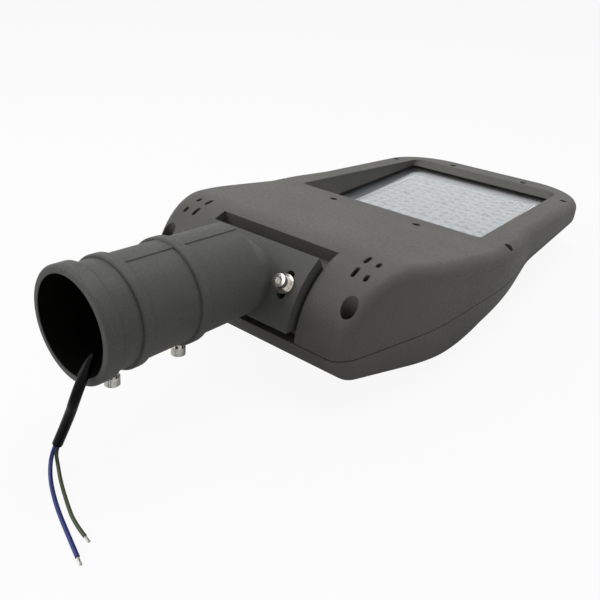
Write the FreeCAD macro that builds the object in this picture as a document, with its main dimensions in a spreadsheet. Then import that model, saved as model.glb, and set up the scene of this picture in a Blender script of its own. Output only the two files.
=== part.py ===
import FreeCAD
import Part
import Sketcher
import math
import os
import re

# Led street light head, lying on its back with the window up, in millimetres.
# The housing is cast in two halves, a window cover above and a finned shell below. A pole
# adapter with a curved flange tilts on the near end, about a level axis across the head.
# Everything is drawn from the tilt axis: x runs from it to the tip, z is height over the floor.
# The placements then set the origin under the middle of the head.

doc = FreeCAD.newDocument("street_light_head")
sheet = doc.addObject("Spreadsheet::Sheet", "sizes")
nodes = []

SIZES = {
    # Housing, both castings
    "tip_reach": 407,
    "near_reach": 61.5,
    "near_half": 94,
    "near_round": 26,
    "swell_reach": 30.5,
    "swell_half": 120.5,
    "swell_round": 200,
    "belly_reach": 140.5,
    "belly_half": 130,
    "belly_round": 300,
    "waist_reach": 205,
    "waist_half": 121.5,
    "waist_round": 150,
    "tip_half": 117,
    "tip_round": 66,
    "axis_height": 39.5,
    "parting": 42,
    "seal_thick": 0.8,
    "wall": 3,
    "end_radius": 58,

    # Window cover
    "crown_deg": 10,
    "rim_start": 122.5,
    "rim_deg": 4.1,
    "bend_round": 150,
    "cover_draft": 1.5,
    "shoulder_round": 10,

    # Window in the cover
    "rim_near": 139.5,
    "rim_near_half": 97.4,
    "rim_near_round": 4,
    "rim_far_inset": 36.5,
    "rim_far_half": 89.3,
    "rim_far_round": 15,
    "pane_near": 180.5,
    "pane_far_inset": 47.5,
    "pane_half": 89.7,
    "pane_round": 6,
    "lip_height": 53,
    "lip_width": 8,
    "lip_margin": 1.5,
    "gasket_thick": 1.5,
    "glass_thick": 4,

    # Lamp
    "lamp_reach": 270.9,
    "lamp_side": 147,
    "lamp_pitch": 12.1,
    "lamp_rows": 12,
    "dome_radius": 5.3,
    "dome_rise": 2,
    "plate_thick": 2,
    "plate_skin": 1,
    "plate_frame": 1.5,
    "board_side": 155,
    "board_thick": 1.6,
    "board_seat": 41.4,
    "chip_side": 3,
    "chip_thick": 0.6,
    "lamp_screw_pitch": 48.4,

    # Finned shell
    "heel_height": 22.5,
    "heel_round": 25,
    "keel_reach": 75,
    "keel_height": 2,
    "keel_round": 120,
    "flank_reach": 112,
    "flank_height": 14,
    "flank_round": 80,
    "skirt_reach": 214,
    "skirt_height": 34,
    "skirt_round": 150,
    "shell_draft": 6,
    "shell_round": 8,
    "sink_near": 142,
    "sink_thick": 5,
    "fin_thick": 3,
    "fin_pitch": 14,
    "fin_count": 13,
    "fin_foot_reach": 202.5,
    "fin_tip_inset": 19,
    "fin_tip_height": 28,
    "fin_room_half": 97,
    "pocket_reach": 195,

    # Recess and seat for the adapter
    "recess_half": 56,
    "recess_back": 11.9,
    "saddle_radius": 48.5,
    "saddle_wall": 4,
    "entry_half": 12,
    "entry_low": 54,
    "entry_high": 81,

    # Cover screws
    "front_screw_reach": 122.5,
    "front_screw_half": 44.9,
    "side_screw_reach": 143,
    "side_screw_inset": 8,
    "rear_screw_inset": 66.1,
    "rear_screw_margin": 12.1,
    "end_screw_inset": 27,
    "end_screw_half": 45.1,
    "small_seat": 52,
    "small_head": 2.75,
    "small_head_height": 3,
    "small_shank": 1.5,
    "small_length": 16,
    "small_boss": 6,
    "small_sink": 3.7,
    "flat_head_height": 2,
    "corner_screw_reach": 43,
    "corner_screw_half": 88.5,
    "corner_seat": 60,
    "corner_head": 4.25,
    "corner_head_height": 5,
    "corner_shank": 2.5,
    "corner_length": 28,
    "corner_boss": 9,
    "corner_sink": 5.6,
    "thread_gap": 0.05,
    "cut_margin": 1,

    # Vent slots
    "vent_width": 3.2,
    "vent_inner_half": 77.8,
    "vent_outer_half": 87.8,
    "vent_long": 9,
    "vent_short": 6,
    "vent_far_reach": 24,
    "vent_near_reach": 9.6,

    # Pole adapter
    "tilt": 3.5,
    "tilt_range": 6,
    "spigot_rise": 38.4,
    "mouth_reach": 193.1,
    "bore_radius": 31,
    "bore_depth": 95,
    "stop_radius": 28,
    "stop_depth": 16,
    "bead_radius": 36,
    "bead_length": 10,
    "bead_round": 2,
    "groove_radius": 33.5,
    "first_ring_start": 24.5,
    "first_ring_radius": 35.7,
    "first_ring_length": 7.5,
    "spigot_radius": 33.7,
    "second_ring_start": 68,
    "second_ring_radius": 36,
    "second_ring_length": 8,
    "ring_round": 1.5,
    "neck_start": 70,
    "neck_end": 40,
    "neck_rise": 28.5,
    "neck_half": 24,
    "neck_half_height": 21,
    "neck_core": 15,
    "end_wall": 4,
    "rib_half": 8,
    "rib_radius": 34.4,
    "flange_radius": 65,
    "flange_gap": 0.3,
    "flange_half": 53,
    "flange_low_deg": 7.1,
    "flange_high_deg": 58.5,
    "flange_round": 3,
    "slot_half": 40.2,
    "slot_width": 7,
    "slot_centre_deg": 35,
    "slot_spare_deg": 0.2,

    # Adapter bolts
    "bolt_head": 5,
    "bolt_head_height": 6,
    "bolt_shank": 3,
    "bolt_length": 26,
    "bolt_socket": 5,
    "bolt_boss": 7,
    "washer_radius": 7.3,
    "washer_thick": 1.6,
    "spring_radius": 5.5,
    "spring_thick": 1.6,
    "washer_gap": 0.2,

    # Pole set screws
    "front_set_reach": 26.5,
    "back_set_reach": 80,
    "set_head": 5,
    "set_head_height": 6,
    "set_head_end": 49.5,
    "set_tip": 28.5,
    "set_boss": 7.5,
    "set_boss_end": 36.5,

    # Driver's room
    "rail_start": 30,
    "rail_end": 132,
    "rail_half": 19,
    "rail_width": 7,
    "rail_top": 20.5,
    "driver_start": 44,
    "driver_end": 118,
    "driver_half": 25,
    "driver_height": 26,
    "driver_tab": 8,
    "driver_tab_thick": 2,
    "block_reach": 4,
    "block_length": 30,
    "block_inner": 45,
    "block_width": 22,
    "block_height": 20,
    "surge_reach": 38,
    "surge_length": 28,
    "surge_inner": 42,
    "surge_width": 28,
    "surge_height": 22,
    "seat_height": 17,

    # Cable
    "cable_radius": 3.1,
    "cable_gap": 0.1,
    "grommet_radius": 9.5,
    "grommet_lip": 2,
    "grommet_lip_radius": 12.5,
    "core_radius": 1.25,
    "earth_radius": 1.1,
    "strand_radius": 0.8,
    "core_spread": 1.6,
    "lead_radius": 1.6,
    "blue_bare": 5.8,
    "earth_bare": 5,
}
for row, (name, value) in enumerate(SIZES.items(), 1):
    sheet.set("A%d" % row, str(value))
    sheet.setAlias("A%d" % row, name)
doc.recompute()


def bound(text):
    """The expression with each size read from the sheet."""
    return re.sub(r"\b[a-z_]+\b", lambda word: "sizes." * (word.group() in SIZES) + word.group(), text)


def number(text):
    """The value of an expression of sizes."""
    return float(sheet.evalExpression(bound(text)))


# Distance from the tilt axis to the foremost point of the mouth, and the axis' own place
MOUTH_FRONT = (
    "(mouth_reach - bead_round)*cos(tilt*1deg) + bead_round"
    " - (spigot_rise - bead_radius + bead_round)*sin(tilt*1deg)"
)
AXIS_X = "(%s - tip_reach)/2" % MOUTH_FRONT
COVER_FOOT = "parting + seal_thick/2"
SHELL_TOP = "parting - seal_thick/2"
SADDLE_BACK = "saddle_radius - saddle_wall"
RIM_FAR = "tip_reach - rim_far_inset"
PANE_FAR = "tip_reach - pane_far_inset"
FIN_TIP = "tip_reach - fin_tip_inset"
GLASS_TOP = "lip_height - gasket_thick"
GLASS_FOOT = "lip_height - gasket_thick - glass_thick"
BOARD_TOP = "board_seat + board_thick"
SINK_FOOT = "board_seat - sink_thick"
EVERYWHERE = "2*tip_reach"
BOLT_DEG = "slot_centre_deg + tilt"
SLOT_TURN = "(tilt_range + slot_spare_deg)"


def crown(reach, inset):
    """Height of the cover's crown, which falls from the pole end to the window."""
    return "axis_height + (end_radius - %s)/cos(crown_deg*1deg) - tan(crown_deg*1deg)*(%s)" % (inset, reach)


def rim(reach, inset):
    """Height of the flatter plane round the window."""
    return "%s - tan(rim_deg*1deg)*(%s - rim_start)" % (crown("rim_start", inset), reach)


def bind(thing, prop, text):
    thing.setExpression(prop, bound(text))


def make(kind, name, **values):
    thing = doc.addObject(kind, name)
    for prop, text in values.items():
        bind(thing, prop, text)
    return thing


def move(thing, x="0", y="0", z="0"):
    for axis, text in (("x", x), ("y", y), ("z", z)):
        bind(thing, "Placement.Base." + axis, text)
    return thing


def turn(thing, axis, degrees):
    rotation = FreeCAD.Rotation(FreeCAD.Vector(*axis), number(degrees))
    thing.Placement = FreeCAD.Placement(FreeCAD.Vector(), rotation)
    bind(thing, "Placement.Rotation.Angle", "(%s)*1deg" % degrees)
    return thing


def box(name, x, y, z):
    """A block between two limits on each axis."""
    block = doc.addObject("Part::Box", name)
    for prop, (low, high) in (("Length", x), ("Width", y), ("Height", z)):
        bind(block, prop, "(%s) - (%s)" % (high, low))
    return move(block, x[0], y[0], z[0])


def both_sides(half):
    return ("-(%s)" % half, half)


def upright(name, radius, x, y, low, high):
    """A standing cylinder."""
    return move(make("Part::Cylinder", name, Radius=radius, Height="(%s) - (%s)" % (high, low)), x, y, low)


def across(name, radius):
    """A cylinder about the tilt axis, wider than the head."""
    roller = turn(make("Part::Cylinder", name, Radius=radius, Height="4*belly_half"), (1, 0, 0), "90")
    return move(roller, "0", "2*belly_half", "axis_height")


def cut(name, base, tool):
    thing = doc.addObject("Part::Cut", name)
    thing.Base = base
    thing.Tool = tool
    return thing


def common(name, base, tool):
    thing = doc.addObject("Part::Common", name)
    thing.Base = base
    thing.Tool = tool
    return thing


def fuse(name, things):
    thing = doc.addObject("Part::MultiFuse", name)
    thing.Shapes = things
    return thing


def outline(name, corners, plane="plan"):
    """A closed sketch with a corner at each pair of expressions, rounded where a radius is given."""
    sketch = doc.addObject("Sketcher::SketchObject", name)
    if plane == "side":
        sketch.Placement = FreeCAD.Placement(FreeCAD.Vector(), FreeCAD.Rotation(FreeCAD.Vector(1, 0, 0), 90))
    points = [FreeCAD.Vector(number(corner[0]), number(corner[1]), 0) for corner in corners]
    count = len(points)
    for i in range(count):
        sketch.addGeometry(Part.LineSegment(points[i], points[(i + 1) % count]), False)
    for i in range(count):
        sketch.addConstraint(Sketcher.Constraint("Coincident", i, 2, (i + 1) % count, 1))
    for i in range(count):
        across_index = sketch.addConstraint(Sketcher.Constraint("DistanceX", i, 1, points[i].x))
        bind(sketch, "Constraints[%d]" % across_index, corners[i][0])
        up_index = sketch.addConstraint(Sketcher.Constraint("DistanceY", i, 1, points[i].y))
        bind(sketch, "Constraints[%d]" % up_index, corners[i][1])
    doc.recompute()
    for i in range(count):
        if len(corners[i]) > 2:
            radius = number(corners[i][2])
            sketch.fillet(i, 1, radius, True, True)
            arcs = [k for k in range(sketch.GeometryCount)
                    if sketch.Geometry[k].TypeId == "Part::GeomArcOfCircle"]
            index = sketch.addConstraint(Sketcher.Constraint("Radius", arcs[-1], radius))
            bind(sketch, "Constraints[%d]" % index, corners[i][2])
    doc.recompute()
    return sketch


def extrude(name, sketch, direction, length, back="0", taper=None):
    block = make("Part::Extrusion", name, LengthFwd=length, LengthRev=back)
    block.Base = sketch
    block.DirMode = "Custom"
    block.Dir = FreeCAD.Vector(*direction)
    block.Solid = True
    if taper:
        bind(block, "TaperAngle", taper)
    return block


def node(thing, label, in_housing=True):
    """Names a finished piece and sets it in its place on the head."""
    thing.Label = label
    if in_housing:
        bind(thing, "Placement.Base.x", AXIS_X)
    nodes.append(thing)
    return thing


def block_node(label, x, y, z):
    """A finished piece that is a plain block."""
    block = box(label, x, y, z)
    node(block, label, False)
    bind(block, "Placement.Base.x", "%s + %s" % (AXIS_X, x[0]))
    return block


def node_on_adapter(thing, label):
    """Names a finished piece of the adapter, drawn with its spigot level, and tilts it."""
    turn(thing, (0, 1, 0), "tilt")
    move(thing, AXIS_X, "0", "axis_height")
    return node(thing, label, False)


# The castings' common form

def plan(name, inset):
    """The head's outline from above, moved in by the inset."""
    side = [
        ("-near_reach + %s" % inset, "near_half - %s" % inset, "near_round"),
        ("swell_reach", "swell_half - %s" % inset, "swell_round"),
        ("belly_reach", "belly_half - %s" % inset, "belly_round"),
        ("waist_reach", "waist_half - %s" % inset, "waist_round"),
        ("tip_reach - %s" % inset, "tip_half - %s" % inset, "tip_round - %s" % inset),
    ]
    other = [(x, "-(%s)" % y, radius) for x, y, radius in reversed(side)]
    return outline(name, side + other)


def cover_profile(name, inset):
    past_tip = "tip_reach + wall"
    near = "-(end_radius - %s)" % inset
    return outline(name, [
        (near, "parting - 4*wall"),
        (near, crown(near, inset), "end_radius - %s" % inset),
        ("rim_start", rim("rim_start", inset), "bend_round"),
        (past_tip, rim(past_tip, inset)),
        (past_tip, "parting - 4*wall"),
    ], "side")


def shell_profile(name, inset):
    past_tip = "tip_reach + wall"
    near = "-(end_radius - %s)" % inset
    return outline(name, [
        (near, "parting + 4*wall"),
        (near, "heel_height + %s" % inset, "heel_round - %s" % inset),
        ("keel_reach", "keel_height + %s" % inset, "keel_round"),
        ("flank_reach", "flank_height + %s" % inset, "flank_round"),
        ("skirt_reach", "skirt_height + %s" % inset, "skirt_round"),
        (past_tip, "skirt_height + %s" % inset),
        (past_tip, "parting + 4*wall"),
    ], "side")


def is_shoulder(shape, edge, upward):
    """Whether an edge lies between a steep side and a face that looks up or down."""
    faces = shape.ancestorsOfType(edge, Part.Face)
    middle = edge.valueAt((edge.FirstParameter + edge.LastParameter)/2)
    slopes = [face.normalAt(*face.Surface.parameter(middle)).z*upward for face in faces]
    return len(faces) == 2 and min(abs(slope) for slope in slopes) < 0.2 and max(slopes) > 0.5


def casting(name, inset, upward, rounding):
    """One half of the housing as a solid block, its outer edge rounded."""
    plan_block = extrude(name + "_plan_block", plan(name + "_plan", inset), (0, 0, upward), "3*parting",
                         taper="-cover_draft" if upward > 0 else "-shell_draft")
    move(plan_block, z=COVER_FOOT if upward > 0 else SHELL_TOP)
    profile = (cover_profile if upward > 0 else shell_profile)(name + "_profile", inset)
    profile_block = extrude(name + "_profile_block", profile, (0, 1, 0), "2*belly_half", "2*belly_half")
    block = common(name + "_block", plan_block, profile_block)
    doc.recompute()
    radius = number(rounding)
    edges = [i + 1 for i, edge in enumerate(block.Shape.Edges) if is_shoulder(block.Shape, edge, upward)]
    rounded = doc.addObject("Part::Fillet", name + "_rounded")
    rounded.Base = block
    rounded.Edges = [(i, radius, radius) for i in edges]
    return rounded


# Screw places: name, distance from the axis, distance from the middle line
SIDES = (("left", ""), ("right", "-"))
SCREW_ROWS = (
    ("front", "front_screw_reach", "front_screw_half"),
    ("side", "side_screw_reach", "belly_half - side_screw_inset"),
    ("rear", "tip_reach - rear_screw_inset", "tip_half - rear_screw_margin"),
    ("end", "tip_reach - end_screw_inset", "end_screw_half"),
)
SMALL_SCREWS = [
    ("%s_%s" % (place, side), reach, "%s(%s)" % (sign, half))
    for place, reach, half in SCREW_ROWS for side, sign in SIDES
]
CORNER_SCREWS = [(side, "-corner_screw_reach", sign + "corner_screw_half") for side, sign in SIDES]
DRIVER_SCREWS = (
    ("driver_start - driver_tab/2", "rail_half"),
    ("driver_end + driver_tab/2", "-rail_half"),
)
LAMP_SCREWS = [(i, j) for i in (-1, 0, 1) for j in (-1, 0, 1)]


def window_outline(name, grow):
    """The rim of the window, drawn on the tilted plane round it."""
    near = "(rim_near - rim_start - %s)/cos(rim_deg*1deg)" % grow
    far = "(%s - rim_start + %s)/cos(rim_deg*1deg)" % (RIM_FAR, grow)
    sketch = outline(name, [
        (near, "rim_near_half + %s" % grow, "rim_near_round"),
        (far, "rim_far_half + %s" % grow, "rim_far_round"),
        (far, "-rim_far_half - %s" % grow, "rim_far_round"),
        (near, "-rim_near_half - %s" % grow, "rim_near_round"),
    ])
    turn(sketch, (0, 1, 0), "rim_deg")
    return move(sketch, "rim_start", "0", rim("rim_start", "0"))


def pane_outline(name, grow):
    """The opening over the glass, at the foot of the window's slopes."""
    near = "pane_near - (%s)" % grow
    far = "%s + %s" % (PANE_FAR, grow)
    half = "pane_half + %s" % grow
    sketch = outline(name, [
        (near, half, "pane_round"),
        (far, half, "pane_round"),
        (far, "-(%s)" % half, "pane_round"),
        (near, "-(%s)" % half, "pane_round"),
    ])
    return move(sketch, z="lip_height")


def window_slopes(name, grow):
    funnel = doc.addObject("Part::Loft", name + "_funnel")
    top = window_outline(name + "_rim", grow)
    funnel.Sections = [pane_outline(name + "_pane", grow), top]
    funnel.Solid = True
    funnel.Ruled = True
    above = extrude(name + "_above", top, (math.sin(math.radians(number("rim_deg"))), 0, 1), "parting")
    return fuse(name, [funnel, above])


def slot_cutter(name, start, length, half_place):
    """An upright cutter with round ends, for one vent slot."""
    low, high = "parting + 4*wall", "3*parting"
    middle = box(name + "_middle", (start, "%s + %s" % (start, length)),
                 ("%s - vent_width/2" % half_place, "%s + vent_width/2" % half_place), (low, high))
    ends = [upright("%s_end%d" % (name, i), "vent_width/2", x, half_place, low, high)
            for i, x in enumerate((start, "%s + %s" % (start, length)))]
    return fuse(name, [middle] + ends)


def radial(name, radius, degrees, y, start, end, height="axis_height"):
    """A cylinder that points away from the tilt axis, at an angle over the pole side."""
    rod = make("Part::Cylinder", name, Radius=radius, Height="(%s) - (%s)" % (end, start))
    turn(rod, (0, -1, 0), "90 - (%s)" % degrees)
    return move(rod, "-(%s)*cos((%s)*1deg)" % (start, degrees), y,
                "%s + (%s)*sin((%s)*1deg)" % (height, start, degrees))


def window_cover():
    outside = casting("cover", "0", 1, "shoulder_round")
    inside = casting("cover_room", "wall", 1, "shoulder_round - wall")
    skin = cut("cover_skin", outside, inside)
    recess_side = ("-2*near_reach", "-recess_back")
    top = "3*parting"
    backing = cut(
        "recess_backing",
        box("recess_backing_block", ("-2*near_reach", "saddle_wall - recess_back"),
            both_sides("recess_half + saddle_wall"), (COVER_FOOT, top)),
        across("recess_backing_round", SADDLE_BACK))
    lip = box("lip_plate", ("pane_near - lip_width - lip_margin", PANE_FAR + " + lip_width + lip_margin"),
              both_sides("pane_half + lip_width + lip_margin"), ("lip_height", "lip_height + wall"))
    bosses = [upright("cover_boss_" + name, "small_boss", x, y, COVER_FOOT, top)
              for name, x, y in SMALL_SCREWS]
    bosses += [upright("cover_corner_boss_" + name, "corner_boss", x, y, COVER_FOOT, top)
               for name, x, y in CORNER_SCREWS]
    bosses += [radial("bolt_boss_" + side, "bolt_boss", BOLT_DEG, sign + "slot_half",
                      "saddle_radius - bolt_length + 2*wall", "saddle_radius - wall/2")
               for side, sign in SIDES]
    slopes = window_slopes("slopes_outside", "wall")
    inner_parts = common("cover_inner_parts", fuse("cover_inner", [backing, lip, slopes] + bosses), outside)
    body = fuse("cover_body", [skin, inner_parts])

    recess_block = box("recess_block", recess_side, both_sides("recess_half"), ("parting - wall", top))
    recess = cut("recess", recess_block, across("saddle", "saddle_radius"))
    entry = box("cable_entry", ("-saddle_radius - wall", "-saddle_radius/2"), both_sides("entry_half"),
                ("entry_low", "entry_high"))
    holes = [window_slopes("window", "0"), recess, entry]
    for name, x, y in SMALL_SCREWS:
        holes.append(upright("small_sink_" + name, "small_sink", x, y, "small_seat", top))
        holes.append(upright("small_hole_" + name, "small_shank + thread_gap", x, y, "parting", "small_seat"))
    for name, x, y in CORNER_SCREWS:
        holes.append(upright("corner_sink_" + name, "corner_sink", x, y, "corner_seat", top))
        holes.append(upright("corner_hole_" + name, "corner_shank + thread_gap", x, y, "parting",
                             "corner_seat"))
    for side, sign in SIDES:
        holes.append(radial("bolt_hole_" + side, "bolt_shank + thread_gap", BOLT_DEG, sign + "slot_half",
                            "flange_radius - bolt_length", "flange_radius"))
        rows = (("inner", "vent_inner_half", "vent_long"), ("outer", "vent_outer_half", "vent_short"))
        for row, half, length in rows:
            for reach in ("vent_far_reach", "vent_near_reach"):
                holes.append(slot_cutter("vent_%s_%s_%s" % (row, reach, side), "-(%s) - vent_width/2" % reach,
                                         "%s - vent_width" % length, sign + half))
    finished = cut("window_cover", body, fuse("cover_holes", holes))
    finished.Refine = False
    return node(finished, "window_cover")


def top_shell():
    outside = casting("shell", "0", -1, "shell_round")
    inside = casting("shell_room", "wall", -1, "shell_round - wall")
    skin = cut("shell_skin", outside, inside)
    full = both_sides("belly_half")
    sink = box("heat_sink_plate", ("sink_near", "tip_reach"), full, (SINK_FOOT, "board_seat"))
    bulkhead = box("bulkhead", ("sink_near", "sink_near + wall"), full, ("0", "board_seat"))
    pocket_end = box("pocket_end", ("pocket_reach", "tip_reach"), full, ("0", "board_seat"))
    sill = box("recess_sill", ("-end_radius", "-(%s)" % SADDLE_BACK), both_sides("recess_half + saddle_wall"),
               ("parting - 3*wall", SHELL_TOP))
    bosses = [upright("shell_boss_" + name, "small_boss", x, y, "0", SHELL_TOP)
              for name, x, y in SMALL_SCREWS]
    bosses += [upright("shell_corner_boss_" + name, "corner_boss", x, y, "0", SHELL_TOP)
               for name, x, y in CORNER_SCREWS]
    seats = [
        box("block_seat", ("block_reach", "block_reach + block_length"),
            ("-block_inner - block_width", "-block_inner"), ("0", "seat_height")),
        box("surge_seat", ("surge_reach", "surge_reach + surge_length"),
            ("surge_inner", "surge_inner + surge_width"), ("0", "seat_height")),
    ]
    inner = fuse("shell_inner", [sink, bulkhead, pocket_end, sill] + seats + bosses)
    inner_parts = common("shell_inner_parts", inner, outside)
    fin_room = box("fin_room", ("sink_near + wall", FIN_TIP), both_sides("fin_room_half"),
                   ("-wall", SINK_FOOT))
    open_body = cut("shell_open_body", fuse("shell_body", [skin, inner_parts]), fin_room)

    fin_outline = outline("fin_outline", [
        ("sink_near", SINK_FOOT + " + wall/2"),
        ("sink_near", "0"),
        ("fin_foot_reach", "0"),
        (FIN_TIP, "fin_tip_height"),
        (FIN_TIP, SINK_FOOT + " + wall/2"),
    ], "side")
    fin_block = extrude("fin_block", fin_outline, (0, 1, 0), "belly_half", "belly_half")
    fins = []
    for i in range(int(number("fin_count"))):
        middle = "(2*%d + 1 - fin_count)*fin_pitch/2" % i
        fins.append(box("fin_%d" % i, ("sink_near", "tip_reach"),
                        (middle + " - fin_thick/2", middle + " + fin_thick/2"), ("0", "parting")))
    comb = common("fin_comb", fuse("fins", fins), fin_block)
    rails = [box("rail_" + side, ("rail_start", "rail_end"),
                 (sign + "rail_half - rail_width/2", sign + "rail_half + rail_width/2"), ("0", "rail_top"))
             for side, sign in SIDES]
    body = fuse("shell_full_body", [open_body, comb] + rails)

    holes = []
    for name, x, y in SMALL_SCREWS:
        holes.append(upright("small_thread_" + name, "small_shank + thread_gap", x, y,
                             "small_seat - small_length", "parting"))
    for name, x, y in CORNER_SCREWS:
        holes.append(upright("corner_thread_" + name, "corner_shank + thread_gap", x, y,
                             "corner_seat - corner_length", "parting"))
    for i, (x, y) in enumerate(DRIVER_SCREWS):
        holes.append(upright("driver_thread_%d" % i, "small_shank + thread_gap", x, y,
                             "rail_top - 2*wall", "rail_top"))
    for i, j in LAMP_SCREWS:
        holes.append(upright("lamp_thread_%d_%d" % (i, j), "small_shank + thread_gap",
                             "lamp_reach + %d*lamp_screw_pitch" % i, "%d*lamp_screw_pitch" % j,
                             SINK_FOOT + " + plate_skin", "board_seat"))
    return node(cut("top_shell", body, fuse("shell_holes", holes)), "top_shell")


def screw(label, head, head_height, shank, length, socket):
    """A cap screw with its seat at height 0, its shank down and a hexagon socket in its head."""
    body = fuse(label + "_body", [
        upright(label + "_head", head, "0", "0", "0", head_height),
        upright(label + "_shank", shank, "0", "0", "-(%s)" % length, "0"),
    ])
    hexagon = make("Part::Prism", label + "_socket", Circumradius=socket, Height=head_height)
    hexagon.Polygon = 6
    move(hexagon, z="(%s)/2" % head_height)
    return cut(label, body, hexagon)


def washer(label, radius, hole, thick):
    """A flat ring, its underside at height 0."""
    disc = upright(label + "_disc", radius, "0", "0", "0", thick)
    return cut(label, disc, upright(label + "_hole", hole, "0", "0", "-cut_margin", "2*(%s)" % thick))


def place_radially(thing, label, y, radius):
    """Sets a screw or washer on the flange, square to the curve."""
    turn(thing, (0, -1, 0), "90 - (%s)" % BOLT_DEG)
    move(thing, "%s - (%s)*cos((%s)*1deg)" % (AXIS_X, radius, BOLT_DEG), y,
         "axis_height + (%s)*sin((%s)*1deg)" % (radius, BOLT_DEG))
    return node(thing, label, False)


def seals_and_glass(cover):
    slab = box("seal_slab", ("%s - 2*near_reach" % AXIS_X, "%s + %s" % (AXIS_X, EVERYWHERE)),
               both_sides("2*belly_half"), (COVER_FOOT, COVER_FOOT + " + seal_thick"))
    seal = common("housing_gasket", cover, slab)
    bind(seal, "Placement.Base.z", "-seal_thick")
    node(seal, "housing_gasket", False)

    pane_box = (("pane_near - lip_width", PANE_FAR + " + lip_width"), both_sides("pane_half + lip_width"))
    hole = extrude("gasket_hole", pane_outline("gasket_pane", "0"), (0, 0, -1), "gasket_thick")
    frame = box("glass_gasket_block", *pane_box, (GLASS_TOP, "lip_height"))
    node(cut("glass_gasket", frame, hole), "glass_gasket")
    block_node("cover_glass", *pane_box, (GLASS_FOOT, GLASS_TOP))


def square(half):
    return ("lamp_reach - %s" % half, "lamp_reach + %s" % half), both_sides(half)


def lamp():
    x, y = square("board_side/2")
    board = box("led_board_block", x, y, ("board_seat", BOARD_TOP))
    board_holes = []
    plate_holes = []
    posts = []
    for i, j in LAMP_SCREWS:
        place = ("lamp_reach + %d*lamp_screw_pitch" % i, "%d*lamp_screw_pitch" % j)
        tag = "_%d_%d" % (i, j)
        hole = "small_shank + thread_gap"
        board_holes.append(upright("board_hole" + tag, hole, *place, "board_seat - cut_margin", BOARD_TOP))
        plate_holes.append(upright("plate_hole" + tag, hole, *place, BOARD_TOP, "lip_height"))
        posts.append(upright("plate_post" + tag, "small_head", *place, BOARD_TOP,
                             BOARD_TOP + " + plate_thick"))
    node(cut("led_board", board, fuse("board_holes", board_holes)), "led_board")

    x, y = square("lamp_side/2")
    slab = box("plate_block", x, y, (BOARD_TOP, BOARD_TOP + " + plate_thick"))
    x, y = square("lamp_side/2 - plate_frame")
    room = box("plate_room", x, y, (BOARD_TOP, BOARD_TOP + " + plate_thick - plate_skin"))
    rows = int(number("lamp_rows"))
    places = [(i, j) for i in range(1 - rows, rows, 2) for j in range(1 - rows, rows, 2)]
    pitch = number("lamp_pitch")
    rise = number("dome_rise")
    ball = (number("dome_radius")**2 + rise**2)/(2*rise)
    foot = number(BOARD_TOP + " + plate_thick")
    base = FreeCAD.Vector(number("lamp_reach"), 0, foot - ball + rise)
    above = Part.makeBox(4*ball, 4*ball, ball, FreeCAD.Vector(-2*ball, -2*ball, ball - rise))
    cap = Part.makeSphere(ball).common(above)
    domes = doc.addObject("Part::Feature", "lens_domes")
    domes.Shape = Part.makeCompound([
        cap.translated(base + FreeCAD.Vector(i*pitch/2, j*pitch/2, 0)) for i, j in places])
    tray = fuse("plate_tray", [cut("plate_hollow", slab, room)] + posts)
    plate = cut("lens_plate", fuse("plate_domed", [tray, domes]), fuse("plate_holes", plate_holes))
    node(plate, "lens_plate")

    chips = doc.addObject("Part::Feature", "led_chips")
    side = number("chip_side")
    chip_foot = number(BOARD_TOP)
    chips.Shape = Part.makeCompound([
        Part.makeBox(side, side, number("chip_thick"),
                     FreeCAD.Vector(base.x + i*pitch/2 - side/2, j*pitch/2 - side/2, chip_foot))
        for i, j in places])
    node(chips, "led_chips")
    for count, (i, j) in enumerate(LAMP_SCREWS, 1):
        pin = screw("lens_screw_%d" % count, "small_head", "flat_head_height", "small_shank",
                    "plate_thick + board_thick + wall", "small_shank")
        move(pin, "0", "%d*lamp_screw_pitch" % j, BOARD_TOP + " + plate_thick")
        node(pin, "lens_screw_%d" % count, False)
        bind(pin, "Placement.Base.x", "%s + lamp_reach + %d*lamp_screw_pitch" % (AXIS_X, i))


def cover_screws():
    for name, x, y in SMALL_SCREWS:
        pin = screw("cover_screw_" + name, "small_head", "small_head_height", "small_shank", "small_length",
                    "small_shank")
        move(pin, "%s + %s" % (AXIS_X, x), y, "small_seat")
        node(pin, "cover_screw_" + name, False)
    for name, x, y in CORNER_SCREWS:
        pin = screw("corner_screw_" + name, "corner_head", "corner_head_height", "corner_shank",
                    "corner_length", "corner_shank")
        move(pin, "%s + %s" % (AXIS_X, x), y, "corner_seat")
        node(pin, "corner_screw_" + name, False)


def adapter_fixings():
    for side, sign in SIDES:
        y = sign + "slot_half"
        seat = "flange_radius + washer_gap"
        hole = "bolt_shank + thread_gap"
        flat = washer("flat_washer_" + side, "washer_radius", hole, "washer_thick")
        place_radially(flat, "flat_washer_" + side, y, seat)
        spring = washer("spring_washer_" + side, "spring_radius", hole, "spring_thick")
        place_radially(spring, "spring_washer_" + side, y, seat + " + washer_thick")
        bolt = screw("adapter_bolt_" + side, "bolt_head", "bolt_head_height", "bolt_shank", "bolt_length",
                     "bolt_socket/2/cos(30deg)")
        place_radially(bolt, "adapter_bolt_" + side, y, seat + " + washer_thick + spring_thick")


def about_spigot(name, corners):
    """A solid turned about the spigot's middle line, from corners of distance and radius."""
    turned = make("Part::Revolution", name)
    turned.Source = outline(name + "_half", [(x, "spigot_rise + %s" % radius) + tuple(rest)
                                             for x, radius, *rest in corners], "side")
    turned.Axis = FreeCAD.Vector(1, 0, 0)
    turned.Angle = 360
    turned.Solid = True
    bind(turned, "Base.z", "spigot_rise")
    return turned


def level(name, radius, height, start, end):
    """A cylinder along the spigot, between two distances from the axis."""
    rod = make("Part::Cylinder", name, Radius=radius, Height="(%s) - (%s)" % (end, start))
    turn(rod, (0, 1, 0), "90")
    return move(rod, start, "0", height)


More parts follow.
